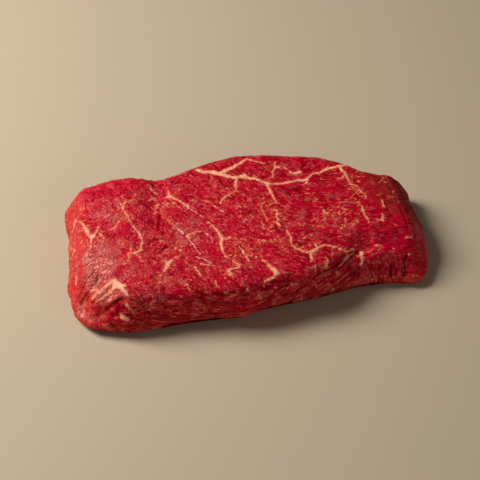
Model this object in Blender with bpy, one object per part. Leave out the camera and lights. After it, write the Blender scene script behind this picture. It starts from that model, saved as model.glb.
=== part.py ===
"""A raw beef steak: one boneless slab, lying on its flat underside.

The slab is a cube primitive cut into a grid. Each grid point is carried on to a block with rounded
edges, and the block is then bent into the steak: a plan outline between four edges, sides that flare
or tuck in towards the base, an uneven top, and the folds where muscles meet.

Metres, +Z up. X runs along the steak, Y across it, and the origin is under its middle, on the table.
"""

import bmesh
import bpy
import numpy as np
from mathutils import Vector, noise

MM = 0.001

# Driving sizes, in millimetres.
HALF_LENGTH = 88.0
HALF_WIDTH = 44.0
THICKNESS = 24.0
TOP_EDGE_RADIUS = 8.0
BASE_EDGE_RADIUS = 6.0
CORNER_RADIUS = 8.5

# The plan outline of the top's rim, as (place along the edge, distance out).
BACK_EDGE = [
    (-88, 38), (-64, 41), (-48, 43), (-34, 41), (-12, 47),
    (8, 50), (30, 47), (52, 41), (66, 31), (90, 30),
]
FRONT_EDGE = [
    (-88, -34), (-76, -36), (-62, -40), (-36, -41.5), (-8, -45),
    (12, -42), (32, -38), (48, -30.5), (60, -27), (90, -28),
]
LEFT_EDGE = [(-44, -77.5), (-24, -80.5), (0, -79), (22, -78), (44, -79)]
RIGHT_EDGE = [(-44, 81.5), (-30, 85), (-14, 87), (4, 87), (24, 85), (44, 84.5)]

# How far each side's foot stands out past the rim (negative is tucked under).
FRONT_FLARE = [
    (-88, 0), (-62, 4.5), (-40, 2), (-22, -2.5), (-6, -2),
    (16, -4.5), (36, -1.5), (56, 1.5), (76, 5),
]
LEFT_FLARE = 5.0
RIGHT_FLARE = 4.5
BACK_FLARE = 1.0

# The thickness along the steak, and how far the top falls away towards the front edge.
THICKNESS_ALONG = [(-88, 21), (-62, 24), (-38, 23.5), (0, 25), (40, 24.5), (68, 23), (90, 18)]
FRONT_FALL = [(-88, 10), (-76, 7.5), (-62, 1.5), (-40, 0.5), (0, 1), (36, 1.5), (52, 4), (66, 5), (90, 7)]

# Folds in the top, as (one end, other end, width, depth); a swell has a negative depth.
TOP_FOLDS = [
    ((-37, 46), (-38, 14), 6.0, 1.2),
    ((-54, 32), (-50, 14), 9.0, -0.8),
    ((58, -19), (42, -37), 4.5, 2.2),
    ((57, -20), (76, -15), 4.0, 0.9),
    ((-66, -34), (-80, -46), 3.5, 1.5),
    ((-70, -24), (-84, -32), 3.5, 0.9),
]

# The fold at the right carried down the front side, with its ends as (along the steak, height).
SIDE_FOLD = ((52, 20), (42, 6), 4.5, 2.0)

# Low swells all over the top, and upright pleats round the sides.
SWELL_SIZE = 24.0
SWELL_HEIGHT = 0.6
PLEAT_SIZE = 7.0
PLEAT_DEPTH = 0.7

# Grid divisions of the cube along X, Y and Z.
DIVISIONS = (56, 28, 8)


def through(stations, place):
    """A smooth curve through (place, value) stations, read at many places."""
    places, values = np.array(stations, float).T
    slopes = np.gradient(values, places)
    i = np.clip(np.searchsorted(places, place) - 1, 0, len(places) - 2)
    gap = places[i + 1] - places[i]
    t = np.clip((place - places[i]) / gap, 0, 1)
    level = values[i] + (values[i + 1] - values[i]) * t * t * (3 - 2 * t)
    return level + gap * t * (1 - t) * (slopes[i] * (1 - t) - slopes[i + 1] * t)


def ease(low, high, value):
    """0 below low, 1 above high, and a smooth step between them."""
    t = np.clip((value - low) / (high - low), 0, 1)
    return t * t * (3 - 2 * t)


def groove(x, y, start, end, width):
    """1 on the line from start to end, falling off to its sides and ends."""
    start, end = np.array(start, float), np.array(end, float)
    run = end - start
    points = np.stack([x, y], axis=-1) - start
    along = np.clip(points @ run / (run @ run), 0, 1)
    away = np.linalg.norm(points - along[:, None] * run, axis=-1)
    return np.exp(-((away / width) ** 2))


def rounded_block(cube):
    """Points of a cube from -1 to 1, carried on to a block with rounded edges and plan corners."""
    size = np.array([HALF_LENGTH, HALF_WIDTH])
    plan = cube[:, :2] * size
    inset = (size - np.abs(plan)).min(axis=1)
    depth = THICKNESS / 2 * (1 - np.abs(cube[:, 2]))

    # Near an edge of the cube, the square corner between a face and a side is drawn on to an arc.
    radius = np.where(cube[:, 2] > 0, TOP_EDGE_RADIUS, BASE_EDGE_RADIUS)
    side_gap = np.minimum(inset, radius)
    face_gap = np.minimum(depth, radius)
    onto_arc = radius / np.maximum(np.hypot(radius - side_gap, radius - face_gap), 1e-6)
    arc_side_gap = radius - (radius - side_gap) * onto_arc
    arc_face_gap = radius - (radius - face_gap) * onto_arc
    plan *= (size - arc_side_gap[:, None]) / (size - side_gap[:, None])
    level = np.sign(cube[:, 2]) * (THICKNESS / 2 - depth + face_gap - arc_face_gap)

    # Each square corner of the plan is drawn in to a round one.
    into_corner = np.abs(plan) - (size - CORNER_RADIUS)
    cornered = (into_corner > 0).all(axis=1)
    square = into_corner[cornered]
    shrink = square.max(axis=1) / np.linalg.norm(square, axis=1)
    plan[cornered] = np.sign(plan[cornered]) * (size - CORNER_RADIUS + square * shrink[:, None])
    return plan[:, 0], plan[:, 1], level


def steak_form(cube):
    """The steak's surface in millimetres, for points of a cube from -1 to 1."""
    plan_x, plan_y, level = rounded_block(cube)
    along = (plan_x / HALF_LENGTH + 1) / 2
    across = (plan_y / HALF_WIDTH + 1) / 2
    height = level / THICKNESS + 0.5

    left, right = through(LEFT_EDGE, plan_y), through(RIGHT_EDGE, plan_y)
    x = left + (right - left) * along
    front, back = through(FRONT_EDGE, x), through(BACK_EDGE, x)
    y = front + (back - front) * across

    # The sides flare or tuck in towards the base.
    foot = ease(0.9, 0.2, height)
    y -= through(FRONT_FLARE, x) * foot * ease(0.35, 0.0, across)
    y += BACK_FLARE * foot * ease(0.7, 1.0, across)
    x -= LEFT_FLARE * foot * ease(0.12, 0.0, along)
    x += RIGHT_FLARE * foot * ease(0.88, 1.0, along)

    # The top: its thickness, the fall to the front, the muscles' low swells and the folds.
    top = through(THICKNESS_ALONG, x)
    top -= through(FRONT_FALL, x) * ease(0.4, 0.0, across)
    top += SWELL_HEIGHT * noise_at(x, y, 0, SWELL_SIZE)
    for start, end, width, depth in TOP_FOLDS:
        top -= depth * groove(x, y, start, end, width)
    z = level + THICKNESS / 2 - (THICKNESS - top) * ease(0.0, 1.0, height)

    # The sides are drawn into upright pleats, and the front into the fold at the right.
    side = ease(0.0, 0.3, height) * ease(1.0, 0.7, height)
    near_front = ease(0.2, 0.0, across)
    pleat = PLEAT_DEPTH * side * noise_at(x, y, z / 3, PLEAT_SIZE)
    y += pleat * (ease(0.7, 1.0, across) - near_front)
    x += pleat * (ease(0.9, 1.0, along) - ease(0.1, 0.0, along))
    start, end, width, depth = SIDE_FOLD
    y += depth * near_front * groove(x, z, start, end, width)

    points = np.stack([x, y, z], axis=-1)
    points[:, :2] -= (points[:, :2].min(axis=0) + points[:, :2].max(axis=0)) / 2
    return points


def noise_at(x, y, z, size):
    """Smooth noise from -1 to 1 whose lumps are about size across."""
    points = np.stack(np.broadcast_arrays(x, y, z), axis=-1) / size
    return np.array([noise.noise(Vector(point)) for point in points])


def raw_meat_material():
    material = bpy.data.materials.new("raw_beef")
    material.use_nodes = True
    shader = material.node_tree.nodes["Principled BSDF"]
    shader.inputs["Base Color"].default_value = (0.42, 0.02, 0.03, 1.0)
    shader.inputs["Roughness"].default_value = 0.4
    shader.inputs["Metallic"].default_value = 0.0
    return material


def cut_into_grid(mesh, divisions):
    """Cuts each run of parallel edges of the cube into that many pieces."""
    for axis, pieces in enumerate(divisions):
        parallel = [e for e in mesh.edges if abs(e.verts[0].co[axis] - e.verts[1].co[axis]) > 1e-6]
        bmesh.ops.subdivide_edges(mesh, edges=parallel, cuts=pieces - 1, use_grid_fill=True)


def make_steak():
    shape = bmesh.new()
    bmesh.ops.create_cube(shape, size=2.0)
    cut_into_grid(shape, DIVISIONS)
    cube = np.array([v.co for v in shape.verts])
    for vertex, point in zip(shape.verts, steak_form(cube) * MM):
        vertex.co = point
    mesh = bpy.data.meshes.new("steak")
    shape.to_mesh(mesh)
    shape.free()
    mesh.shade_smooth()
    mesh.materials.append(raw_meat_material())
    steak = bpy.data.objects.new("steak", mesh)
    collection = bpy.data.collections.new("raw_beef_steak")
    bpy.context.scene.collection.children.link(collection)
    collection.objects.link(steak)
    return steak


for old in list(bpy.data.objects):
    bpy.data.objects.remove(old)
make_steak()
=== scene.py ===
"""The looks of the raw beef steak: its fine surface, fat, fibres and moist skin, with some light and shade painted
into its colours, on a plain pale floor.

The slab is the CAD form made again on a finer grid. Marbling is drawn in millimetres on a sheet level
with the top. The sheet is carried down the front along a slanting line, so fat runs over the rim.
"""

import math

import bmesh
import bpy
import numpy as np
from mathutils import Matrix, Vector, noise


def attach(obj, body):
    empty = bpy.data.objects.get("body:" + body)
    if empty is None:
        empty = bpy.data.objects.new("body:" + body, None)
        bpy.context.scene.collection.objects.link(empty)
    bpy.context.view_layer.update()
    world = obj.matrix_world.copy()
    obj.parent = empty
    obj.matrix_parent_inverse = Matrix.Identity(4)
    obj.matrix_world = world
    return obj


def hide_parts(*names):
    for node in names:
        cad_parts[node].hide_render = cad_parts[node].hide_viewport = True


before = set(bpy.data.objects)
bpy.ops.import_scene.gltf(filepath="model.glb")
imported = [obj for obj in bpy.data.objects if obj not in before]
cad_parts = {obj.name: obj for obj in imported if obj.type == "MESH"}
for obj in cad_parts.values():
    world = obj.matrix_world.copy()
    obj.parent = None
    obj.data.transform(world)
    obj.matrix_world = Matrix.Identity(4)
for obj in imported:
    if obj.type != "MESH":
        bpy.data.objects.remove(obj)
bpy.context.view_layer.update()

MM = 0.001

# ---------------------------------------------------------------------------------------------
# The form, as in the CAD part, in millimetres.

HALF_LENGTH = 88.0
HALF_WIDTH = 44.0
THICKNESS = 24.0
TOP_EDGE_RADIUS = 8.0
BASE_EDGE_RADIUS = 6.0
CORNER_RADIUS = 8.5

# The plan outline of the top's rim, as (place along the edge, distance out).
BACK_EDGE = [
    (-88, 38), (-64, 41), (-48, 43), (-34, 41), (-12, 47),
    (8, 50), (30, 47), (52, 41), (66, 31), (90, 30),
]
FRONT_EDGE = [
    (-88, -34), (-76, -36), (-62, -40), (-36, -41.5), (-8, -45),
    (12, -42), (32, -38), (48, -30.5), (60, -27), (90, -28),
]
LEFT_EDGE = [(-44, -77.5), (-24, -80.5), (0, -79), (22, -78), (44, -79)]
RIGHT_EDGE = [(-44, 81.5), (-30, 85), (-14, 87), (4, 87), (24, 85), (44, 84.5)]

# How far each side's foot stands out past the rim (negative is tucked under).
FRONT_FLARE = [
    (-88, 0), (-62, 4.5), (-40, 2), (-22, -2.5), (-6, -2),
    (16, -4.5), (36, -1.5), (56, 1.5), (76, 5),
]
LEFT_FLARE = 5.0
RIGHT_FLARE = 4.5
BACK_FLARE = 1.0

# The thickness along the steak, and how far the top falls away towards the front edge.
THICKNESS_ALONG = [(-88, 21), (-62, 24), (-38, 23.5), (0, 25), (40, 24.5), (68, 23), (90, 18)]
FRONT_FALL = [(-88, 10), (-76, 7.5), (-62, 1.5), (-40, 0.5), (0, 1), (36, 1.5), (52, 4), (66, 5), (90, 7)]

# Folds in the top, as (one end, other end, width, depth); a swell has a negative depth.
TOP_FOLDS = [
    ((-37, 46), (-38, 14), 6.0, 1.2),
    ((-54, 32), (-50, 14), 9.0, -0.8),
    ((58, -19), (42, -37), 4.5, 2.2),
    ((57, -20), (76, -15), 4.0, 0.9),
    ((-66, -34), (-80, -46), 3.5, 1.5),
    ((-70, -24), (-84, -32), 3.5, 0.9),
]

# The fold at the right carried down the front side, with its ends as (along the steak, height).
SIDE_FOLD = ((52, 20), (42, 6), 4.5, 2.0)

# Low swells all over the top, and upright pleats round the sides.
SWELL_SIZE = 24.0
SWELL_HEIGHT = 0.6
PLEAT_SIZE = 7.0
PLEAT_DEPTH = 0.7

# The middle of the CAD form's outline, which the part moves to the origin.
PLAN_CENTRE = (3.05, 3.05)

# Grid divisions of the cube along X, Y and Z.
DIVISIONS = (340, 184, 22)

# ---------------------------------------------------------------------------------------------
# Fat, on the sheet, in millimetres: (radius at the start, radius at the end, points).

FAT_REACH = 3.0
FLECK_CLUSTERS = 100
PARTING_DEPTH = 0.45
SHEET_LEVEL = 24.0
SHEET_SLANT = (0.135, 0.957)

SEAMS = [
    # The long seam along the back and the arms that leave it.
    (1.1, 1.7, (-16, 39), (-13, 37.5), (-8.5, 36.5), (-5.5, 35)),
    (1.7, 0.8, (-5.5, 35), (-1.5, 37), (4, 40), (9.5, 43.5)),
    (0.5, 0.3, (9.5, 43.5), (13, 41.5), (18, 39)),
    (1.5, 0.9, (-5.5, 35), (-2, 33), (1, 31.5), (7, 31.5), (11, 29.5), (14.5, 27), (17, 25)),
    (0.7, 0.45, (2.5, 31), (1.5, 26), (1, 22)),
    (0.5, 0.3, (1, 22), (-4.5, 18.5), (-8, 15)),
    (0.4, 0.3, (1, 22), (4, 21.5)),
    (0.9, 1.0, (17, 25), (22, 24), (27, 24.5), (34, 25), (37, 25)),
    (0.7, 0.5, (36, 25), (37, 21.5)),
    (0.7, 0.6, (36, 25.2), (38.5, 27), (40, 28.5)),
    (0.7, 1.0, (40, 28.5), (44.5, 29.5), (48.5, 32), (52.5, 32)),
    (0.9, 0.5, (52.5, 32), (59.5, 32.5)),
    (1.1, 0.55, (54.5, 31), (56.5, 27), (57, 24), (58, 19.5)),
    (0.4, 0.3, (56, 26), (54, 23.5), (52, 24)),
    (0.5, 0.4, (58, 19.5), (60.5, 16.5), (61.5, 13), (63.5, 9.5)),
    (0.35, 0.35, (59.5, 6.5), (60.5, 2.5), (60, 0.5)),
    (0.8, 0.3, (60, 0.5), (62, -8.5)),
    # The seam that drops from the junction to the front, and its spread there.
    (1.0, 0.5, (17, 25), (17.5, 21.5), (18.5, 16), (19.5, 12)),
    (0.45, 0.8, (18.5, 6), (18.5, 0), (17.5, -2), (18.5, -4.5)),
    (0.35, 0.3, (13, 12), (11.5, 8), (12.5, 4), (13.5, -1)),
    (0.5, 0.7, (21.5, -9), (22.5, -13), (22.5, -18), (24, -20.5), (27, -22.5), (31, -24)),
    (0.9, 0.6, (31, -24), (34, -22), (37.5, -20.5), (41, -21.5)),
    (0.6, 0.9, (41, -21.5), (44.5, -23.5), (48, -26), (51.5, -25)),
    (0.5, 0.6, (33, -18), (34, -21.5)),
    (0.7, 0.5, (30.5, -24), (30.5, -28), (29.5, -30)),
    (0.5, 0.9, (37, -28), (37.5, -31), (36.5, -35)),
    (0.8, 0.4, (48.5, -29.5), (45.5, -33), (42.5, -35.5)),
    (1.1, 0.5, (55, -28), (54.5, -32), (53, -36)),
    (0.5, 0.4, (31, -34), (30.5, -38)),
    # The ring and the patch behind the seam.
    (0.4, 0.5, (20.5, 28.5), (21, 33), (23, 36), (26.5, 36), (28.5, 34)),
    (0.3, 0.3, (23, 36), (22.5, 39.5)),
    (0.8, 1.2, (30, 31.5), (31.5, 30.5), (34.5, 30.5)),
    # The hooked vein at the left, its fork and the arms beside it.
    (0.35, 0.5, (-56, 21.5), (-54.5, 16), (-53, 10), (-51.5, 5)),
    (0.55, 0.8, (-51.5, 5), (-48.5, -1), (-48, -5.5), (-49, -11)),
    (0.75, 0.5, (-49, -11), (-52.5, -13), (-55.5, -12.5), (-55.5, -16.5)),
    (0.5, 0.3, (-52.5, -13), (-50, -16)),
    (0.3, 0.3, (-56, 20), (-52, 21.5), (-49, 23)),
    (0.45, 0.3, (-63, 4), (-60, 5.5), (-58, 9), (-55.5, 12)),
    (0.5, 1.3, (-77, 12), (-75, 8), (-73.5, 3.5), (-72, 0)),
    (0.5, 1.2, (-68, 7), (-69.5, 3), (-71.5, 0)),
    (0.8, 0.25, (-72, -1), (-72.5, -4.5), (-73.5, -8)),
    (0.5, 0.25, (-67.5, 2.5), (-66, -2)),
    (0.5, 0.3, (-79, 13.5), (-82.5, 4.5)),
    (0.4, 0.3, (-81.5, -6), (-84, -13)),
    (0.5, 0.3, (-82, -24), (-83.5, -31)),
    # Broken veins across the left half.
    (0.5, 0.35, (-40, 29), (-38.5, 25)),
    (0.45, 0.35, (-42, 21.5), (-39.5, 23), (-38, 18), (-40.5, 11.5)),
    (0.5, 1.3, (-32, 26.5), (-31.5, 22.5)),
    (0.9, 0.4, (-31.5, 22.5), (-26, 18), (-23, 14.5)),
    (0.4, 0.3, (-34.5, 7), (-31, 2.5)),
    (0.8, 0.3, (-26.5, -5.5), (-25.5, -8.5)),
    (0.7, 0.3, (-26.5, -5.5), (-22.5, -2.5), (-19, -3)),
    (0.6, 0.4, (-15.5, 2.5), (-13.5, 0.5)),
    (0.5, 0.9, (-13.5, 0.5), (-11.5, -4), (-10, -9.5)),
    (0.9, 0.4, (-10, -9.5), (-11, -13), (-11, -17), (-10, -21)),
    (0.5, 0.4, (-10, -9.5), (-7, -9.5), (-4, -9.5), (-2.5, -11.5)),
    (0.35, 0.6, (-10, -21), (-7.5, -22.5), (-5.5, -25.5), (-3.5, -27.5)),
    (0.5, 0.5, (-3.5, -27.5), (-5, -29.5), (-10, -30)),
    (0.7, 0.5, (-10, -30), (-8.5, -34)),
    (0.5, 0.35, (7, -26), (10, -29.5)),
    (1.0, 1.5, (9, -30), (11.5, -32.5), (12.5, -35.5)),
    (1.3, 0.6, (12.5, -35.5), (10, -38), (6.5, -39.5)),
    (0.6, 0.9, (-40, -20), (-37.5, -21.5), (-35, -20.5)),
    (1.0, 0.4, (-37.5, -21.5), (-38.5, -25), (-41.5, -29)),
    (0.5, 0.5, (-22, -25), (-18.5, -25.5)),
    (0.8, 0.5, (-25, -26), (-24, -29.5), (-23, -31.5)),
    (0.6, 0.4, (-30.5, -36.5), (-29.5, -40)),
    (0.6, 0.4, (-17, -36.5), (-16, -40.5)),
    # Spots at the right.
    (0.4, 0.3, (41.5, 3), (41.5, 0), (41, -5)),
    (0.35, 0.3, (42.5, 1), (46.5, -1.5)),
    (0.4, 0.3, (51, -4), (50.5, -8), (48, -11)),
    (0.45, 0.4, (71, 6), (71.5, 1)),
    (0.6, 0.4, (69.5, -4), (69, -8)),
    (0.35, 0.3, (65.5, -6.5), (68.5, -7)),
    (0.4, 0.3, (74, -11.5), (75.5, -12.5)),
    (0.6, 0.5, (6.5, 3), (6.1, 2.6)),
    (0.5, 0.4, (3, 2), (2.7, 1.7)),
    (0.6, 0.4, (7, -13.5), (7.5, -14.5)),
    (0.5, 0.4, (4.5, -23), (4.2, -23.6)),
    (0.8, 0.6, (78.5, -21), (81, -21.5)),
    (0.6, 0.5, (62.5, -24), (65, -24.5)),
    # The fat at the front-left corner, over the rim and on the side below it.
    (1.5, 0.5, (-64, -29.5), (-67, -32), (-71.5, -35), (-76, -40)),
    (1.6, 0.3, (-63, -33), (-66.5, -36.5), (-70, -39.5), (-75, -42)),
    (1.7, 2.1, (-63.5, -31), (-60.5, -34.5)),
    (2.0, 0.6, (-60.5, -34.5), (-59.5, -37.5), (-58.5, -41)),
    (0.9, 0.4, (-60, -45.5), (-58.5, -49.5), (-57.5, -52)),
    (2.0, 1.9, (-63, -53), (-61.5, -55.5)),
    # Streaks down the front side.
    (0.5, 0.25, (-5.5, -40.5), (-2, -42), (-3.5, -45)),
    (0.35, 0.3, (16, -46.5), (19, -44), (21.5, -43)),
    (0.3, 0.25, (3, -51), (1.5, -48.5), (4, -46.5)),
    (0.3, 0.2, (-22.5, -51), (-18.5, -48)),
    (0.35, 0.2, (-13.5, -44.5), (-9, -46.5)),
]

# Silvery threads of sinew, partly painted glint, in the same form.
SINEWS = [
    (0.4, 0.25, (-25.5, 16), (-22.5, 13), (-20, 9.5), (-17, 6)),
    (0.35, 0.2, (-11.5, 13.5), (-8.5, 10.5), (-6, 7.5)),
    (0.35, 0.45, (-30.5, 1), (-28, -3.5)),
    (0.35, 0.3, (-25.5, -8.5), (-24, -11.5), (-23, -16), (-21.5, -18)),
    (0.35, 0.2, (-23.5, -19.5), (-20, -22), (-17, -24.5)),
    (0.3, 0.2, (-17.5, -4.5), (-15, -8.5)),
    (0.35, 0.2, (-2.5, -16), (-1, -20.5), (1, -27)),
    (0.25, 0.2, (0, -28.5), (2, -31)),
    (0.25, 0.2, (-49, 1.5), (-48, -2)),
    (0.45, 0.4, (77.5, -32), (77.4, -32.6)),
    (0.40, 0.3, (83, -34), (82.8, -34.4)),
    (0.5, 0.5, (74, -39), (73.8, -39.6)),
    (0.5, 0.6, (74, -42.5), (73.9, -43.4)),
    (0.4, 0.35, (70.5, -27), (71.2, -27.3)),
]

# Where the skin is wettest, which gives it a coat and a painted sheen, on the part: (x, y, reach, wetness).
WET_AND_SHEEN_PATCHES = [
    (-72, -18, 11, 1.0), (-76, -33, 9, 1.0), (-66, -10, 7, 0.8), (-60, 14, 6, 0.5),
    (-27, -3, 8, 0.5), (-40, -32, 14, 0.2), (-68, -35, 7, 1.0), (30, -3, 7, 0.2),
]

# Creases in the skin of the meat, cut into the form and darkened with painted shade, on the sheet: (width, depth,
# points).
CREASES = [
    # Down the valley from the back rim.
    (0.8, 0.5, (-41.5, 36), (-39, 32.5), (-37, 27.5)),
    (0.7, 0.5, (-45, 23.5), (-44, 19), (-41.5, 15)),
    (0.9, 0.6, (-37.5, 11.5), (-38.5, 7), (-39.5, 1.5)),
    (0.7, 0.5, (-33.5, 1.5), (-31, -1.5)),
    (0.7, 0.5, (-44, -6.5), (-40.5, -5), (-37, -2)),
    (0.8, 0.6, (-40, -14), (-36.5, -10.5), (-32.5, -9)),
    (0.6, 0.4, (-26, 10.5), (-21.5, 4.5)),
    (0.6, 0.4, (-3, -32), (1, -32), (5.5, -36)),
    # The pinched front-left corner.
    (0.7, 1.0, (-71.5, -27), (-76, -34), (-80.5, -39.5), (-83, -44)),
    (0.6, 0.8, (-73.5, -23), (-77.5, -28), (-81, -34.5), (-83, -39)),
    (0.6, 0.8, (-68.5, -27.5), (-73, -32.5), (-76.5, -37), (-79.5, -41)),
    (0.5, 0.6, (-77, -24), (-80, -30), (-81.5, -36)),
    (0.5, 0.5, (-67.5, -34.5), (-70, -38), (-73, -40.5), (-76, -43)),
    (1.4, 1.2, (-62, -42), (-66, -44.5), (-70, -48)),
    (0.8, 0.7, (-73, -48.5), (-76.5, -52.5)),
    (0.7, 0.7, (-82, -42.5), (-83, -47), (-82, -51)),
    (0.6, 0.6, (-57.5, -42.5), (-53.5, -47), (-48, -52)),
    (0.6, 0.5, (-75, -17.5), (-72.5, -22.5), (-70.5, -27.5)),
    (0.5, 0.4, (-71.5, -8.5), (-69.5, -12.5), (-68, -10)),
    (0.5, 0.4, (-78.5, -12), (-76, -17), (-76.5, -21)),
    # Along the front side.
    (0.9, 0.7, (-63.5, -46), (-65, -51.5)),
    (0.9, 0.7, (-78, -52.5), (-74, -51.5), (-69, -48)),
    (0.8, 0.5, (-58.5, -41), (-57, -44)),
    (0.8, 0.6, (-45, -46), (-42.5, -49), (-39, -50)),
    (1.0, 0.9, (-26.5, -42), (-23, -45), (-19, -48)),
    (1.2, 1.1, (-18.5, -44.5), (-13.5, -46.5), (-9, -45)),
    (0.9, 0.8, (0, -41), (4, -44.5), (9, -44)),
    (0.9, 0.7, (10, -41), (14, -41), (19, -42)),
    (1.0, 0.9, (10.5, -47), (13, -50), (17, -52)),
    (0.8, 0.6, (19, -37), (16.5, -40.5)),
    (0.8, 0.5, (23.5, -43.5), (27, -47)),
    # The fold at the right and the pleats under it.
    (0.8, 0.7, (54, -27), (50.5, -29), (44.5, -32.5), (38, -36), (31.5, -39)),
    (0.8, 0.7, (57.5, -29), (60.5, -28.5), (64, -27.5)),
    (0.6, 0.5, (74, -24.5), (75.5, -25)),
    (0.7, 0.8, (48, -35.5), (46.5, -39.5)),
    (0.7, 0.8, (53.5, -34), (51, -44)),
    (0.7, 1.1, (58.5, -40.5), (58, -45.5)),
    (0.6, 0.6, (62.5, -36), (62, -42)),
    (0.6, 1.4, (68, -38), (67.5, -42), (67, -46)),
    (0.4, 0.6, (70.5, -36.5), (69, -40.5)),
    (0.4, 0.9, (70.5, -41), (69, -46.5)),
    (0.5, 1.0, (77, -32), (75.5, -35.5), (74, -40)),
    (0.9, 1.6, (74.5, -40), (74, -43.5), (73.5, -46)),
    # The skin at the right end.
    (0.6, 0.5, (76.5, 18.5), (77.5, 12), (78.5, 4.5), (80, -4), (80.5, -15)),
    (0.5, 0.4, (73, 9), (73, 2), (74, -5), (75.5, -10)),
    (0.8, 0.6, (82, -1.5), (83.5, -5)),
]


# Small swells of the skin, on the sheet: (one end, other end, width, height).
SWELLS = [
    ((80.5, -33), (79, -44), 3.5, 0.9),
    ((-62.5, -54), (-62, -54.5), 2.4, 0.8),
    ((-66, -31), (-60.5, -34.5), 3.0, 0.5),
]


def through(stations, place):
    """A smooth curve through (place, value) stations, read at many places."""
    places, values = np.array(stations, float).T
    slopes = np.gradient(values, places)
    i = np.clip(np.searchsorted(places, place) - 1, 0, len(places) - 2)
    gap = places[i + 1] - places[i]
    t = np.clip((place - places[i]) / gap, 0, 1)
    level = values[i] + (values[i + 1] - values[i]) * t * t * (3 - 2 * t)
    return level + gap * t * (1 - t) * (slopes[i] * (1 - t) - slopes[i + 1] * t)


def ease(low, high, value):
    """0 below low, 1 above high, and a smooth step between them."""
    t = np.clip((value - low) / (high - low), 0, 1)
    return t * t * (3 - 2 * t)


def distance_to_line(points, start, end):
    """(distance to the line from start to end, how far along it the nearest point is, from 0 to 1)."""
    start, end = np.array(start, float), np.array(end, float)
    run = end - start
    along = np.clip((points - start) @ run / (run @ run), 0, 1)
    return np.linalg.norm(points - start - along[:, None] * run, axis=1), along


def groove(x, y, start, end, width):
    """1 on the line from start to end, falling off to its sides and ends."""
    away, _ = distance_to_line(np.stack([x, y], axis=-1), start, end)
    return np.exp(-((away / width) ** 2))


def noise_at(x, y, z, size):
    """Smooth noise from -1 to 1 whose lumps are about size across."""
    points = np.stack(np.broadcast_arrays(x, y, z), axis=-1) / size
    return np.array([noise.noise(Vector(point)) for point in points])


def rounded_block(cube):
    """Points of a cube from -1 to 1, carried on to a block with rounded edges and plan corners."""
    size = np.array([HALF_LENGTH, HALF_WIDTH])
    plan = cube[:, :2] * size
    inset = (size - np.abs(plan)).min(axis=1)
    depth = THICKNESS / 2 * (1 - np.abs(cube[:, 2]))

    radius = np.where(cube[:, 2] > 0, TOP_EDGE_RADIUS, BASE_EDGE_RADIUS)
    side_gap = np.minimum(inset, radius)
    face_gap = np.minimum(depth, radius)
    onto_arc = radius / np.maximum(np.hypot(radius - side_gap, radius - face_gap), 1e-6)
    arc_side_gap = radius - (radius - side_gap) * onto_arc
    arc_face_gap = radius - (radius - face_gap) * onto_arc
    plan *= (size - arc_side_gap[:, None]) / (size - side_gap[:, None])
    level = np.sign(cube[:, 2]) * (THICKNESS / 2 - depth + face_gap - arc_face_gap)

    into_corner = np.abs(plan) - (size - CORNER_RADIUS)
    cornered = (into_corner > 0).all(axis=1)
    square = into_corner[cornered]
    shrink = square.max(axis=1) / np.linalg.norm(square, axis=1)
    plan[cornered] = np.sign(plan[cornered]) * (size - CORNER_RADIUS + square * shrink[:, None])
    return plan[:, 0], plan[:, 1], level


def steak_form(cube):
    """The steak's surface in millimetres, for points of a cube from -1 to 1."""
    plan_x, plan_y, level = rounded_block(cube)
    along = (plan_x / HALF_LENGTH + 1) / 2
    across = (plan_y / HALF_WIDTH + 1) / 2
    height = level / THICKNESS + 0.5

    left, right = through(LEFT_EDGE, plan_y), through(RIGHT_EDGE, plan_y)
    x = left + (right - left) * along
    front, back = through(FRONT_EDGE, x), through(BACK_EDGE, x)
    y = front + (back - front) * across

    # The sides flare or tuck in towards the base.
    foot = ease(0.9, 0.2, height)
    y -= through(FRONT_FLARE, x) * foot * ease(0.35, 0.0, across)
    y += BACK_FLARE * foot * ease(0.7, 1.0, across)
    x -= LEFT_FLARE * foot * ease(0.12, 0.0, along)
    x += RIGHT_FLARE * foot * ease(0.88, 1.0, along)

    # The top: its thickness, the fall to the front, the muscles' low swells and the folds.
    top = through(THICKNESS_ALONG, x)
    top -= through(FRONT_FALL, x) * ease(0.4, 0.0, across)
    top += SWELL_HEIGHT * noise_at(x, y, 0, SWELL_SIZE)
    for start, end, width, depth in TOP_FOLDS:
        top -= depth * groove(x, y, start, end, width)
    z = level + THICKNESS / 2 - (THICKNESS - top) * ease(0.0, 1.0, height)

    # The sides are drawn into upright pleats, and the front into the fold at the right.
    side = ease(0.0, 0.3, height) * ease(1.0, 0.7, height)
    near_front = ease(0.2, 0.0, across)
    pleat = PLEAT_DEPTH * side * noise_at(x, y, z / 3, PLEAT_SIZE)
    y += pleat * (ease(0.7, 1.0, across) - near_front)
    x += pleat * (ease(0.9, 1.0, along) - ease(0.1, 0.0, along))
    start, end, width, depth = SIDE_FOLD
    y += depth * near_front * groove(x, z, start, end, width)
    return np.stack([x, y, z], axis=-1)


def on_sheet(points):
    """Each point's place on the marbling sheet."""
    below = SHEET_LEVEL - points[:, 2]
    return points[:, :2] - below[:, None] * np.array(SHEET_SLANT)


def fat_gap(sheet, seams):
    """How far each place on the sheet is from the edge of the nearest fat, up to FAT_REACH; negative inside it."""
    order = np.argsort(sheet[:, 0])
    ordered = sheet[order]
    swing = 0.84 + 0.6 * noise_at(*ordered.T, 20, 2.0)
    gap = np.full(len(sheet), FAT_REACH)
    for first, last, *line in seams:
        radii = np.linspace(first, last, len(line))
        for i, (start, end) in enumerate(zip(line[:-1], line[1:])):
            reach = FAT_REACH + max(radii[i], radii[i + 1])
            low, high = sorted((start[0], end[0]))
            near = slice(*np.searchsorted(ordered[:, 0], (low - reach, high + reach)))
            away, along = distance_to_line(ordered[near], start, end)
            radius = swing[near] * (radii[i] + (radii[i + 1] - radii[i]) * along)
            gap[near] = np.minimum(gap[near], away - radius)
    unordered = np.empty_like(gap)
    unordered[order] = gap
    return unordered


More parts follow.
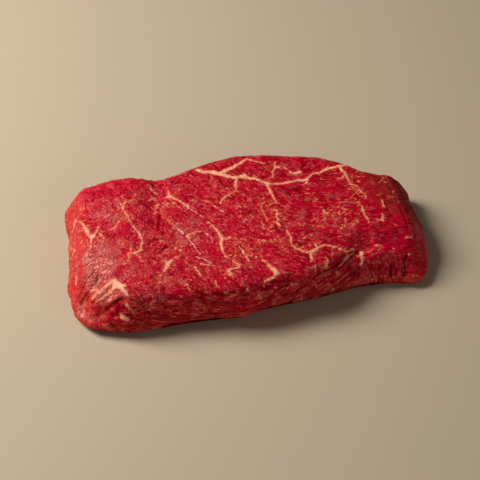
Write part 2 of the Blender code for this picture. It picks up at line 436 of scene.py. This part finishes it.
def flecks(seed):
    """Short threads of fat, in loose clusters that mostly slant with the fibres."""
    rng = np.random.default_rng(seed)
    made = []
    for _ in range(FLECK_CLUSTERS):
        middle = rng.uniform((-88, -62), (92, 27))
        spread = rng.uniform(1.5, 5.0)
        for _ in range(rng.integers(2, 12)):
            place = middle + rng.normal(0, spread, 2)
            turn = rng.normal(-0.6 if middle[0] < 20 else 0.0, 0.8)
            line = [tuple(place)]
            for _ in range(rng.integers(1, 4)):
                turn += rng.normal(0, 0.35)
                place = place + rng.uniform(0.5, 1.4) * np.array([math.cos(turn), math.sin(turn)])
                line.append(tuple(place))
            radius = rng.uniform(0.05, 0.30)
            made.append((radius, radius * 0.4, *line))
    return made


def shoots(seams, seed):
    """Short side branches that leave the seams and taper away."""
    rng = np.random.default_rng(seed)
    made = []
    for first, _, *line in seams:
        for start, end in zip(line[:-1], line[1:]):
            run = np.subtract(end, start)
            for _ in range(rng.poisson(0.3 * math.hypot(*run))):
                root = np.add(start, rng.uniform() * run)
                turn = math.atan2(run[1], run[0]) + rng.choice((-1, 1)) * rng.uniform(0.5, 1.5)
                tip = root + rng.uniform(0.8, 2.6) * np.array([math.cos(turn), math.sin(turn)])
                made.append((min(0.4, 0.6 * first), 0.05, tuple(root), tuple(tip)))
    return made


def cut_into_grid(mesh, divisions):
    """Cuts each run of parallel edges of the cube into that many pieces."""
    for axis, pieces in enumerate(divisions):
        parallel = [e for e in mesh.edges if abs(e.verts[0].co[axis] - e.verts[1].co[axis]) > 1e-6]
        bmesh.ops.subdivide_edges(mesh, edges=parallel, cuts=pieces - 1, use_grid_fill=True)


def crease_depth(sheet):
    """How deep the creases are at each place on the sheet."""
    depth = np.zeros(len(sheet))
    for width, deepest, *line in CREASES:
        for start, end in zip(line[:-1], line[1:]):
            away, _ = distance_to_line(sheet, start, end)
            depth = np.maximum(depth, deepest * np.exp(-((away / width) ** 2)))
    return depth


def soft_ramp(value, start, width):
    """0 below start, then rising one for one, with a bend of that width."""
    return width * np.logaddexp(0, (value - start) / width)


def top_fibre(sheet):
    """Coordinates that run along and across the top's fibres, which slant and then level out to the right."""
    u, v = sheet.T
    along = 0.25 * u - 0.25 * soft_ramp(-u, -15, 8) - 0.3 * soft_ramp(-u, 35, 8)
    across = v - 0.7 * soft_ramp(-u, -28, 9)
    return along, across


def front_fibre(sheet):
    """The same on the front side, where the fibres fall to the right at first and then climb."""
    u, v = sheet.T
    bend = 1.6 * noise_at(0.6 * u, v, 70, 6.0)
    return 0.15 * u, 0.7 * (v + 0.3 * u - 1.1 * soft_ramp(u, -2, 8) + bend)


def hollows(points, sheet, kind, on_lobe):
    """How deep the creases and the partings between fibre bundles are at each place."""
    on_top, on_front, _ = kind.T
    broken = ease(-0.1, 0.35, noise_at(*sheet.T, 30, 8.0))
    x, y, z = points.T
    top, front = top_fibre(sheet), front_fibre(sheet)
    betweens = (
        (on_top, PARTING_DEPTH * broken, noise_at(1.4 * top[0], top[1], 9, 3.6)),
        (on_front, 1.4 * PARTING_DEPTH, noise_at(front[0], front[1], 9, 3.2)),
        (on_lobe, 0.7 * PARTING_DEPTH, noise_at(x, y, 0.25 * z, 3.2)),
    )
    partings = sum(share * depth * np.exp(-((between / 0.16) ** 2)) for share, depth, between in betweens)
    return np.maximum(crease_depth(sheet), partings)


def relief(points, sheet, gap, kind, on_lobe, hollow):
    """How far the fine surface stands out from the form, in millimetres."""
    x, y, z = points.T
    on_top, on_front, on_pleats = kind.T
    height = 0.35 * noise_at(x, y, z, 7.0) + 0.25 * noise_at(x, y, z + 40, 3.0)
    along, across = top_fibre(sheet)
    height += 0.12 * noise_at(along, across, 0.3 * z, 1.2) * on_top
    along, across = front_fibre(sheet)
    height += 0.55 * noise_at(along, across, 0, 2.2) * on_front
    height += noise_at(x, y, 0.25 * z, 2.6) * (0.15 * on_pleats + 0.45 * on_lobe)
    height += 0.12 * ease(0.4, -0.6, gap)
    for start, end, width, swell in SWELLS:
        height += swell * groove(*sheet.T, start, end, width)
    return height - hollow


def kinds(points, normals):
    """How much of each place is cut top, front side and pleated skin, adding up to one."""
    x, _, z = points.T
    upright = ease(0.75, 0.35, normals[:, 2])
    pleated = upright * np.maximum(ease(52, 60, x), ease(-0.6, -0.9, normals[:, 0]))
    return np.stack([1 - upright, upright - pleated, pleated], axis=-1)


def tones(points, normals):
    """How brown each place is, how much painted warm light it takes (bounce light low on the sides, key light on the
    left side), and how wet it is, for its coat and its painted sheen.
    """
    x, y, z = points.T
    brown = ease(64, 80, x + 0.25 * y) * ease(-8, 6, y)
    # Painted warm light: bounce light low on the shaded sides, and key light on the left side that faces it.
    painted_bounce_low = ease(10, 1, z) * ease(-64, -50, x) * ease(-0.9, -0.4, normals[:, 2])
    painted_warm_share = np.maximum(painted_bounce_low, 0.8 * ease(0.3, 0.9, -normals[:, 0]) * ease(-60, -76, x))
    wet = np.zeros(len(points))
    for u, v, reach, most in WET_AND_SHEEN_PATCHES:
        wet = np.maximum(wet, most * np.exp(-(((x - u) ** 2 + (y - v) ** 2) / reach**2)))
    wet *= ease(0.5, 0.8, normals[:, 2])
    return np.stack([brown, painted_warm_share, wet], axis=-1)


def tone_shifts_and_painted_light(points, on_top):
    """How far each place's tone moves, partly as painted light and shade: lighter to the left, towards the key
    light, darker to the right, away from it, with painted shade down the sides and some darker patches of the meat's
    own.
    """
    x = points[:, 0]
    y = points[:, 1]
    # Darker to the right, away from the key light, partly as painted light falloff; darker too at the front of the
    # top, at the back between the seams and at the right back.
    darker_and_painted_falloff = 0.034 * ease(-10, 70, x) + 0.010 * ease(-16, -30, y) * ease(-50, -30, x)
    darker_and_painted_falloff += 0.034 * ease(20, 30, y) * ease(-30, -10, x)
    darker_and_painted_falloff += 0.022 * ease(35, 60, x) * ease(-5, 10, y)
    # Painted light: lighter to the left, towards the key light.
    painted_key_light = 0.038 * ease(-30, -60, x)
    # Painted shade down the sides, more at the front-left corner.
    painted_side_shade = 0.058 + 0.050 * ease(-48, -60, x) * ease(-30, -38, y)
    return (painted_key_light - 0.052 - darker_and_painted_falloff) * on_top - painted_side_shade * (1 - on_top)


def calmness(points, sheet, on_top, wet):
    """How even the muscle's tone is: more so in patches, where wet, at the right end and back left."""
    x, y, _ = points.T
    back_left = ease(22, 34, y) * ease(-38, -50, x)
    patchy = ease(0.05, 0.4, noise_at(*sheet.T, 80, 9.0))
    even = np.maximum(0.65 * on_top * np.maximum(ease(48, 72, x), back_left), 0.5 * patchy)
    return np.maximum(even, 0.6 * wet)


def make_steak():
    shape = bmesh.new()
    bmesh.ops.create_cube(shape, size=2.0)
    cut_into_grid(shape, DIVISIONS)
    cube = np.array([v.co for v in shape.verts])

    # The underside needs few rows, so they are spread towards its middle, where flat faces dissolve.
    under = cube[:, 2] < -0.999
    cube[under, :2] **= 3
    for vertex, point in zip(shape.verts, steak_form(cube)):
        vertex.co = point
    flat = [f for f in shape.faces if all(v.co.z < 1e-4 for v in f.verts)]
    bmesh.ops.dissolve_faces(shape, faces=flat, use_verts=True)
    shape.normal_update()

    points = np.array([v.co for v in shape.verts])
    normals = np.array([v.normal for v in shape.verts])
    sheet = on_sheet(points)
    wander = np.stack([noise_at(*sheet.T, 0, 3.5), noise_at(*sheet.T, 50, 3.5)], axis=-1)
    gap = fat_gap(sheet + 0.55 * wander, SEAMS + shoots(SEAMS, 3) + flecks(5))
    sinew = fat_gap(sheet + 0.3 * wander, SINEWS)
    kind = kinds(points, normals)
    on_lobe = kind[:, 2] * ease(0.2, 0.6, -normals[:, 1])
    hollow = hollows(points, sheet, kind, on_lobe)
    tone = tones(points, normals)
    attributes = {
        "fat_gap": gap,
        "sinew_gap": sinew,
        "top_fibre": np.stack([*top_fibre(sheet), 0.3 * points[:, 2]], axis=-1),
        "front_fibre": np.stack([*front_fibre(sheet), 0 * gap], axis=-1),
        "kind": kind,
        "tone": tone,
        "depth": tone_shifts_and_painted_light(points, kind[:, 0]),
        "hollow": hollow,
        "calm": calmness(points, sheet, kind[:, 0], tone[:, 2]),
        "skin_grain": np.stack([0.2 * sheet.sum(axis=1), 0.6 * (sheet[:, 1] - sheet[:, 0]), 0 * gap], axis=-1),
    }
    clear_of_base = ease(0.5, 3.0, points[:, 2])
    points += normals * (relief(points, sheet, gap, kind, on_lobe, hollow) * clear_of_base)[:, None]
    points[:, :2] -= PLAN_CENTRE

    for vertex, point in zip(shape.verts, points * MM):
        vertex.co = point
    mesh = bpy.data.meshes.new("marbled_slab")
    shape.to_mesh(mesh)
    shape.free()
    mesh.shade_smooth()
    for name, values in attributes.items():
        form, field = ("FLOAT", "value") if values.ndim == 1 else ("FLOAT_VECTOR", "vector")
        mesh.attributes.new(name, form, "POINT").data.foreach_set(field, values.astype(np.float32).ravel())
    mesh.materials.append(raw_beef())
    steak = bpy.data.objects.new("marbled_slab", mesh)
    bpy.context.scene.collection.objects.link(steak)
    return steak


# ---------------------------------------------------------------------------------------------
# Materials.


class Shader:
    """A material being built: each method adds one node and gives back its result."""

    def __init__(self, name):
        self.material = bpy.data.materials.new(name)
        self.material.use_nodes = True
        self.nodes = self.material.node_tree.nodes
        self.links = self.material.node_tree.links
        self.surface = self.nodes["Principled BSDF"]

    def put(self, socket, value):
        if isinstance(value, bpy.types.NodeSocket):
            self.links.new(value, socket)
        else:
            socket.default_value = value

    def add(self, kind, output, inputs, **settings):
        node = self.nodes.new(kind)
        for name, value in settings.items():
            setattr(node, name, value)
        for name, value in inputs.items():
            self.put(node.inputs[name], value)
        return node.outputs[output]

    def math(self, operation, a, b=0.0):
        return self.add("ShaderNodeMath", 0, {0: a, 1: b}, operation=operation)

    def total(self, *values):
        result = values[0]
        for value in values[1:]:
            result = self.math("ADD", result, value)
        return result

    def product(self, *values):
        result = values[0]
        for value in values[1:]:
            result = self.math("MULTIPLY", result, value)
        return result

    def step(self, value, low, high, start=0.0, end=1.0):
        """start up to low, end from high, and a smooth step between them."""
        inputs = {0: value, 1: low, 2: high, 3: start, 4: end}
        return self.add("ShaderNodeMapRange", 0, inputs, interpolation_type="SMOOTHSTEP")

    def mix(self, share, a, b):
        return self.add("ShaderNodeMix", 2, {0: share, 6: a, 7: b}, data_type="RGBA")

    def ramp(self, value, stops):
        """A colour read from (place, colour) stops."""
        node = self.nodes.new("ShaderNodeValToRGB")
        elements = node.color_ramp.elements
        for _ in stops[2:]:
            elements.new(0.5)
        for element, (place, colour) in zip(elements, stops):
            element.position = place
            element.color = colour
        self.put(node.inputs["Fac"], value)
        return node.outputs["Color"]

    def noise(self, place, size, detail=2.0, roughness=0.5, distortion=0.0):
        inputs = {
            "Vector": place, "Scale": 1 / size, "Detail": detail,
            "Roughness": roughness, "Distortion": distortion,
        }
        return self.add("ShaderNodeTexNoise", 0, inputs)

    def scaled(self, vector, factors):
        return self.add("ShaderNodeVectorMath", 0, {0: vector, 1: factors}, operation="MULTIPLY")

    def attribute(self, name, output="Vector"):
        return self.add("ShaderNodeAttribute", output, {}, attribute_name=name)

    def parts(self, vector):
        node = self.nodes.new("ShaderNodeSeparateXYZ")
        self.put(node.inputs[0], vector)
        return node.outputs[:3]


def rgb(red, green, blue):
    return (red, green, blue, 1.0)


# The muscle's tones from deep fibre to pale sinew, as (place on the tone scale, colour).
MUSCLE_TONES = [
    (0.40, rgb(0.35, 0.0001, 0.006)),
    (0.46, rgb(0.43, 0.0003, 0.015)),
    (0.51, rgb(0.53, 0.002, 0.025)),
    (0.56, rgb(0.63, 0.015, 0.044)),
    (0.61, rgb(0.72, 0.068, 0.080)),
    (0.66, rgb(0.80, 0.19, 0.15)),
]
# Painted shade, for the clefts, creases and wrinkles.
PAINTED_CREVICE_SHADE = rgb(0.26, 0.0, 0.005)
# Painted sheen on wet skin.
PAINTED_WET_SHEEN = rgb(0.97, 0.34, 0.27)
# Sinew pink, also used as painted highlight on ridge tops.
SINEW_PINK_AND_RIDGE_HIGHLIGHT = rgb(0.68, 0.16, 0.13)
# Sinew silver, broken into painted glints.
SINEW_SILVER_AND_GLINT = rgb(0.80, 0.56, 0.50)
FAT_RIM = rgb(0.64, 0.070, 0.035)
FAT_SHADE = rgb(0.76, 0.22, 0.12)
FAT_LIGHT = rgb(0.90, 0.45, 0.29)
CALM_TONE = 0.51
STREAK_ORANGE = rgb(0.66, 0.13, 0.06)
DRIED_BROWN = rgb(0.20, 0.020, 0.012)
# Painted warm light: bounce light low on the sides and key light on the left side.
PAINTED_WARM_LIGHT = rgb(0.68, 0.080, 0.035)


def raw_beef():
    shader = Shader("raw_beef")
    place = shader.scaled(shader.add("ShaderNodeTexCoord", "Object", {}), (1000, 1000, 1000))
    on_top, on_front, on_pleats = shader.parts(shader.attribute("kind"))
    brown, painted_warm_share, wet = shader.parts(shader.attribute("tone"))
    grains = (
        (on_top, shader.attribute("top_fibre"), (2.0, 1.0, 1.0)),
        (on_front, shader.attribute("front_fibre"), (2.5, 1.0, 1.0)),
        (on_pleats, shader.scaled(place, (0.9, 0.9, 0.22)), (1.0, 1.0, 2.0)),
    )

    def along_fibres(*texture, loose=False):
        """Noise drawn out along the fibres of the top, the front side and the pleats; less so if loose."""
        layers = []
        for share, grain, looser in grains:
            grain = shader.scaled(grain, looser) if loose else grain
            layers.append(shader.product(share, shader.noise(grain, *texture)))
        return shader.total(*layers)

    def near_middle(value, width):
        """1 where the noise crosses its middle value, in a thin line."""
        return shader.step(shader.math("ABSOLUTE", shader.math("SUBTRACT", value, 0.5)), width, 0.2 * width)

    # Muscle: its tone runs from dark fibre to pale sinew, with thin walls between the bundles; the walls' pale
    # ridges are partly sinew and partly painted highlight, and the clefts beside them take painted shade.
    strands = along_fibres(0.65, 0.0)
    bundles = along_fibres(1.8, 2.0, 0.5)
    patches = shader.noise(place, 5.0, 3.0, 0.6)
    grit = shader.noise(place, 0.8, 0.0)
    # The depth attribute carries painted light and shade: lighter towards the key light, darker away from it and
    # down the sides.
    tone = shader.total(
        shader.product(strands, 0.52),
        shader.product(bundles, 0.14),
        shader.product(patches, 0.14),
        shader.product(grit, 0.26),
        shader.attribute("depth", "Fac"),
    )
    calm = shader.attribute("calm", "Fac")
    tone = shader.math("ADD", tone, shader.product(shader.math("SUBTRACT", CALM_TONE, tone), calm))
    colour = shader.ramp(tone, MUSCLE_TONES)
    busy = shader.math("SUBTRACT", 1.0, calm)
    ridges = shader.product(near_middle(along_fibres(2.2, 0.0, 0.5, 1.0, loose=True), 0.040), busy)
    clefts = shader.product(near_middle(along_fibres(1.9, 0.0, 0.5, 0.7, loose=True), 0.028), busy)
    # Painted shade in the clefts; the ridges' pale pink is partly sinew and partly painted highlight.
    colour = shader.mix(shader.product(clefts, 0.45), colour, PAINTED_CREVICE_SHADE)
    colour = shader.mix(shader.product(ridges, shader.step(patches, 0.40, 0.60, 0.3, 0.9)), colour, SINEW_PINK_AND_RIDGE_HIGHLIGHT)
    streaks = shader.product(near_middle(bundles, 0.05), on_front, shader.step(patches, 0.38, 0.58), 0.7)
    colour = shader.mix(streaks, colour, STREAK_ORANGE)
    # Painted shade in the creases and partings, stronger where they are deep.
    hollow = shader.attribute("hollow", "Fac")
    colour = shader.mix(shader.step(hollow, 0.08, 0.5, 0.0, 0.8), colour, PAINTED_CREVICE_SHADE)

    # Drier and brown at the right end; painted warm light low on the sides, standing in for bounce light, and on the
    # left side, which faces the key light.
    colour = shader.mix(shader.product(brown, shader.step(strands, 0.34, 0.56), 0.95), colour, DRIED_BROWN)
    colour = shader.mix(shader.product(painted_warm_share, shader.step(strands, 0.35, 0.60), 0.6), colour, PAINTED_WARM_LIGHT)

    # Wet skin: a pale painted sheen on its glinting ridges, with painted shade in the fine dark wrinkles between
    # them.
    ragged_wet = shader.math("ADD", wet, shader.product(shader.math("SUBTRACT", patches, 0.5), 1.6))
    film = shader.step(ragged_wet, 0.0, 0.9)
    wrinkles = shader.noise(shader.attribute("skin_grain"), 1.3, 1.0, 0.5, 1.2)
    cracks = shader.product(near_middle(wrinkles, 0.06), film)
    on_ridges = shader.product(shader.step(wrinkles, 0.45, 0.60, 0.30, 1.0), shader.step(grit, 0.38, 0.56, 0.4, 1.0))
    painted_sheen = shader.product(film, on_ridges, 0.9)
    colour = shader.mix(painted_sheen, colour, PAINTED_WET_SHEEN)
    colour = shader.mix(shader.product(cracks, 0.45), colour, PAINTED_CREVICE_SHADE)

    # Fat, with ragged edges and a red rim, and threads of sinew, whose silver is partly the sinew's own and partly
    # painted glint, broken into dashes.
    ragged = shader.math("SUBTRACT", shader.noise(place, 1.5, 3.0, 0.65), 0.5)
    edge = shader.math("ADD", shader.attribute("fat_gap", "Fac"), shader.product(ragged, 2.0))
    colour = shader.mix(shader.step(edge, 0.7, 0.1, 0.0, 0.5), colour, FAT_RIM)
    fat_depth = shader.math("ADD", edge, shader.product(shader.math("SUBTRACT", grit, 0.5), 1.5))
    fat_colour = shader.mix(shader.step(fat_depth, 0.0, -1.0), FAT_SHADE, FAT_LIGHT)
    colour = shader.mix(shader.step(edge, 0.10, -0.12), colour, fat_colour)
    # Painted glint: the sinew's silver shows in broken dashes.
    thread = shader.math("ADD", shader.attribute("sinew_gap", "Fac"), shader.product(ragged, 0.8))
    glint = shader.product(shader.step(thread, 0.12, -0.08), shader.step(grit, 0.36, 0.52, 0.3, 0.95))
    colour = shader.mix(glint, colour, SINEW_SILVER_AND_GLINT)

    shader.put(shader.surface.inputs["Base Color"], colour)
    moist = shader.step(patches, 0.35, 0.65, 0.20, 0.32)
    shader.put(shader.surface.inputs["Roughness"], shader.math("ADD", moist, shader.product(brown, 0.5)))
    shader.surface.inputs["IOR"].default_value = 1.1
    shader.surface.inputs["Subsurface Weight"].default_value = 0.10
    shader.surface.inputs["Subsurface Radius"].default_value = (1.0, 0.25, 0.15)
    shader.surface.inputs["Subsurface Scale"].default_value = 0.0006
    shader.put(shader.surface.inputs["Coat Weight"], shader.math("ADD", shader.product(film, 0.5), 0.04))
    shader.surface.inputs["Coat Roughness"].default_value = 0.10
    shader.surface.inputs["Coat IOR"].default_value = 1.4

    height = shader.total(
        shader.product(strands, 0.36),
        shader.product(bundles, 0.30),
        shader.product(ridges, 0.16),
        shader.product(clefts, -0.16),
        shader.product(shader.noise(place, 0.5, 0.0), 0.14),
        shader.product(cracks, -0.35),
    )
    bump = shader.add("ShaderNodeBump", 0, {"Height": height, "Distance": MM, "Strength": 1.0})
    shader.put(shader.surface.inputs["Normal"], bump)
    shader.put(shader.surface.inputs["Coat Normal"], bump)
    return shader.material


def floor_paint():
    shader = Shader("floor_paint")
    shader.surface.inputs["Base Color"].default_value = rgb(0.46, 0.37, 0.26)
    shader.surface.inputs["Roughness"].default_value = 0.8
    return shader.material


# ---------------------------------------------------------------------------------------------
# The stage: floor, light and camera.

VIEW_AZIMUTH = -8.0
VIEW_ELEVATION = 46.0
VIEW_DISTANCE = 0.9
VIEW_WIDTH = 0.2341
AIM = (-PLAN_CENTRE[0] * MM, -PLAN_CENTRE[1] * MM, 0.012)

# Each light as (name, direction it comes from, distance, size, power).
LIGHTS = [
    ("key", (-0.67, 0.29, 0.68), 0.88, 0.41, 11.3),
    ("fill", (0.75, -0.9, 0.35), 1.2, 0.9, 3.3),
]


def aimed(from_direction):
    """A rotation that looks from that direction back at the aim point."""
    return from_direction.to_track_quat("Z", "Y")


def make_floor():
    floor_mesh = bpy.data.meshes.new("floor")
    shape = bmesh.new()
    bmesh.ops.create_grid(shape, x_segments=1, y_segments=1, size=3.0)
    shape.to_mesh(floor_mesh)
    shape.free()
    floor_mesh.materials.append(floor_paint())
    floor = bpy.data.objects.new("floor", floor_mesh)
    floor.location.z = -0.0002
    bpy.context.scene.collection.objects.link(floor)


def make_lights():
    for name, direction, distance, size, power in LIGHTS:
        lamp = bpy.data.lights.new(name, "AREA")
        lamp.energy = power
        lamp.size = size
        lamp.color = (1.0, 0.97, 0.93)
        light = bpy.data.objects.new(name, lamp)
        light.location = Vector(AIM) + Vector(direction).normalized() * distance
        light.rotation_mode = "QUATERNION"
        light.rotation_quaternion = aimed(Vector(direction))
        bpy.context.scene.collection.objects.link(light)

    world = bpy.data.worlds.new("soft_room")
    world.use_nodes = True
    world.node_tree.nodes["Background"].inputs["Color"].default_value = rgb(1.0, 0.96, 0.9)
    world.node_tree.nodes["Background"].inputs["Strength"].default_value = 0.06
    bpy.context.scene.world = world


def make_camera():
    azimuth, elevation = math.radians(VIEW_AZIMUTH), math.radians(VIEW_ELEVATION)
    back = Vector((
        math.sin(azimuth) * math.cos(elevation),
        -math.cos(azimuth) * math.cos(elevation),
        math.sin(elevation),
    ))
    lens = bpy.data.cameras.new("view")
    lens.lens = lens.sensor_width * VIEW_DISTANCE / VIEW_WIDTH
    camera = bpy.data.objects.new("view", lens)
    camera.location = Vector(AIM) + back * VIEW_DISTANCE
    camera.rotation_mode = "QUATERNION"
    camera.rotation_quaternion = aimed(back)
    bpy.context.scene.collection.objects.link(camera)
    bpy.context.scene.camera = camera


steak = make_steak()
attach(steak, "root")
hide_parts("steak")
make_floor()
make_lights()
make_camera()
bpy.context.scene.view_settings.view_transform = "Standard"
